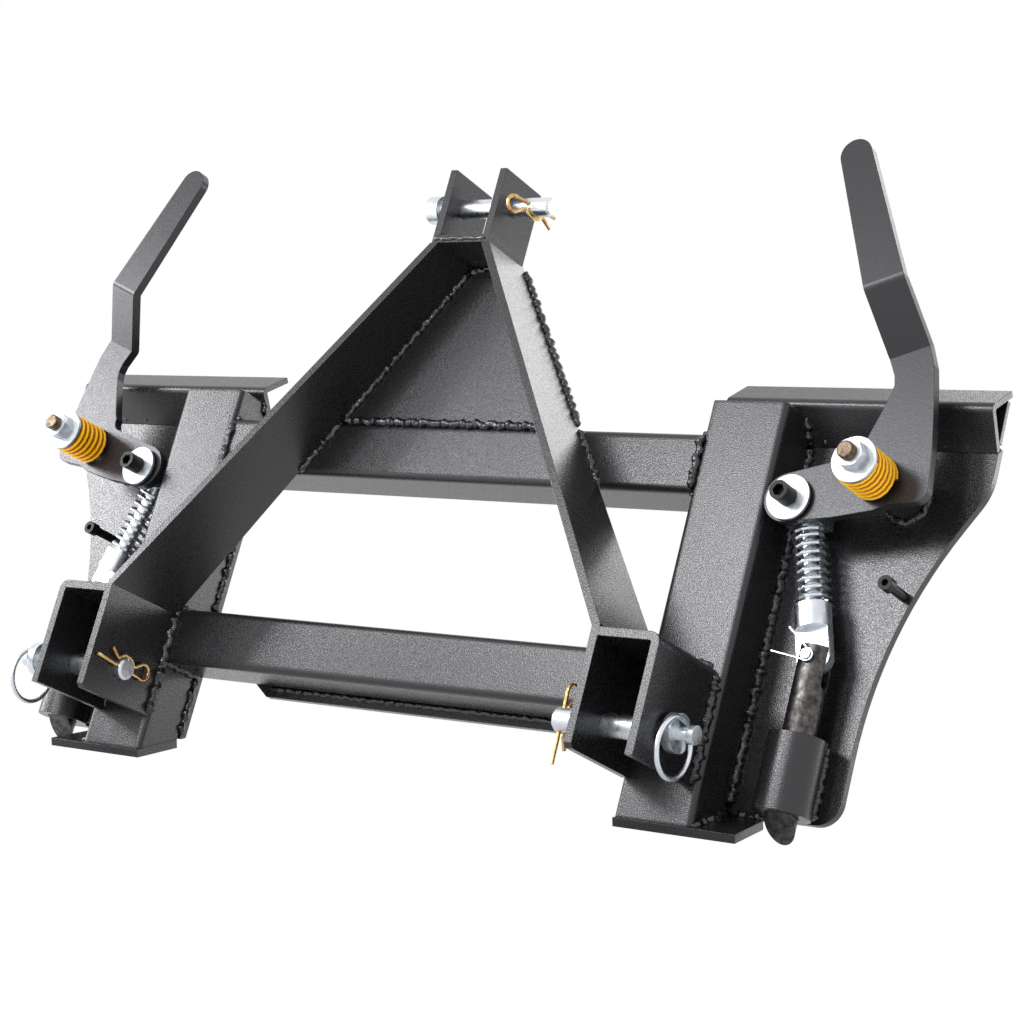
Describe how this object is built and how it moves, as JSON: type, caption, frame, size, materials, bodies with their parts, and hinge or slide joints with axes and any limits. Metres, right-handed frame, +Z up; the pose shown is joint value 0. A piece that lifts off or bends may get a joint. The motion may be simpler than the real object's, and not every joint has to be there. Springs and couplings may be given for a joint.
{
  "type": "three-point quick attach adapter",
  "caption": "Welded adapter frame with a bent mast, hitch pins, hooked top rails and hand levers that drive locking wedges.",
  "frame": {"origin": "under the middle of the part, on the plane of the lowest edges of the foot plates", "axes": "+X to the right seen from the tractor, +Y back towards the attachment, +Z up"},
  "size_m": [1.112, 0.1694, 0.6397],
  "materials": {
    "frame_paint": "dark grey powder coat, fine grain",
    "zinc": "bright zinc plate",
    "yellow_zinc": "yellow zinc plate",
    "orange_paint": "gloss orange paint",
    "black_oxide": "black oxide",
    "bare_steel": "bare turned steel with slight rust"
  },
  "bodies": {
    "frame": {"upright_tube_left": "frame_paint", "upright_tube_right": "frame_paint", "upper_cross_tube": "frame_paint", "lower_cross_tube": "frame_paint", "hook_rail_left": "frame_paint", "hook_rail_right": "frame_paint", "rail_strip_left": "frame_paint", "rail_strip_right": "frame_paint", "side_plate_left": "frame_paint", "side_plate_right": "frame_paint", "foot_plate_left": "frame_paint", "foot_plate_right": "frame_paint", "bottom_strip": "frame_paint", "mast_bar_left": "frame_paint", "mast_bar_right": "frame_paint", "mast_gusset": "frame_paint", "mast_cap": "frame_paint", "top_ear_left": "frame_paint", "top_ear_right": "frame_paint", "link_bracket_left": "frame_paint", "link_bracket_right": "frame_paint", "guide_tube_left": "frame_paint", "guide_tube_right": "frame_paint", "pivot_boss_left": "frame_paint", "pivot_boss_right": "frame_paint", "pivot_stud_left": "bare_steel", "pivot_stud_right": "bare_steel", "pivot_washers": "zinc", "pivot_nuts": "zinc", "friction_spring_left": "orange_paint", "friction_spring_right": "orange_paint", "stop_screws": "black_oxide"},
    "lever_left_body": {"lever_left": "frame_paint", "crank_screw_left": "black_oxide", "crank_washer_left": "zinc"},
    "wedge_left_body": {"wedge_left": "bare_steel", "cross_pin_left": "zinc", "hair_pin_left": "zinc"},
    "link_left_body": {"link_rod_left": "zinc", "latch_spring_left": "zinc", "latch_clevis_left": "zinc"},
    "lower_pin_left_body": {"lower_hitch_pin_left": "zinc", "lower_clip_left": "yellow_zinc"},
    "ring_left_body": {"pull_ring_left": "zinc"},
    "lever_right_body": {"lever_right": "frame_paint", "crank_screw_right": "black_oxide", "crank_washer_right": "zinc"},
    "wedge_right_body": {"wedge_right": "bare_steel", "cross_pin_right": "zinc", "hair_pin_right": "zinc"},
    "link_right_body": {"link_rod_right": "zinc", "latch_spring_right": "zinc", "latch_clevis_right": "zinc"},
    "lower_pin_right_body": {"lower_hitch_pin_right": "zinc", "lower_clip_right": "yellow_zinc"},
    "ring_right_body": {"pull_ring_right": "zinc"},
    "top_pin_body": {"top_hitch_pin": "zinc", "top_clip": "yellow_zinc"}
  },
  "joints": [
    {"name": "lever_left_turn", "type": "hinge", "parent": "frame", "child": "lever_left_body", "pos_m": [-0.4796, 0.01535, 0.33169], "axis": [0, 1, 0], "range_deg": [0, 40]},
    {"name": "wedge_left_slide", "type": "slide", "parent": "frame", "child": "wedge_left_body", "axis": [0, 0, 1], "range_m": [-0.0551, 0]},
    {"name": "link_left_turn", "type": "hinge", "parent": "wedge_left_body", "child": "link_left_body", "pos_m": [-0.438, 0.04335, 0.17319], "axis": [0, 1, 0], "range_deg": [-13.2, 0]},
    {"name": "lower_pin_left_slide", "type": "slide", "parent": "frame", "child": "lower_pin_left_body", "axis": [1, 0, 0], "range_m": [-0.0018, 0.038]},
    {"name": "ring_left_swing", "type": "hinge", "parent": "lower_pin_left_body", "child": "ring_left_body", "pos_m": [-0.4118, -0.03965, 0.07619], "axis": [1, 0, 0], "range_deg": [-75, 75]},
    {"name": "lever_right_turn", "type": "hinge", "parent": "frame", "child": "lever_right_body", "pos_m": [0.4796, 0.01535, 0.33169], "axis": [0, 1, 0], "range_deg": [-40, 0]},
    {"name": "wedge_right_slide", "type": "slide", "parent": "frame", "child": "wedge_right_body", "axis": [0, 0, 1], "range_m": [-0.0551, 0]},
    {"name": "link_right_turn", "type": "hinge", "parent": "wedge_right_body", "child": "link_right_body", "pos_m": [0.438, 0.04335, 0.17319], "axis": [0, 1, 0], "range_deg": [0, 13.2]},
    {"name": "lower_pin_right_slide", "type": "slide", "parent": "frame", "child": "lower_pin_right_body", "axis": [1, 0, 0], "range_m": [-0.003, 0.0368]},
    {"name": "ring_right_swing", "type": "hinge", "parent": "lower_pin_right_body", "child": "ring_right_body", "pos_m": [0.3768, -0.03965, 0.07619], "axis": [1, 0, 0], "range_deg": [-43, 107]},
    {"name": "top_pin_slide", "type": "slide", "parent": "frame", "child": "top_pin_body", "axis": [1, 0, 0], "range_m": [-0.015, 0.017]}
  ],
  "couplings": [
    {"joint": "wedge_left_slide", "follows": "lever_left_turn", "m_per_rad": -0.0788},
    {"joint": "link_left_turn", "follows": "lever_left_turn", "ratio": -0.3244},
    {"joint": "wedge_right_slide", "follows": "lever_right_turn", "m_per_rad": 0.0788},
    {"joint": "link_right_turn", "follows": "lever_right_turn", "ratio": -0.3244}
  ]
}
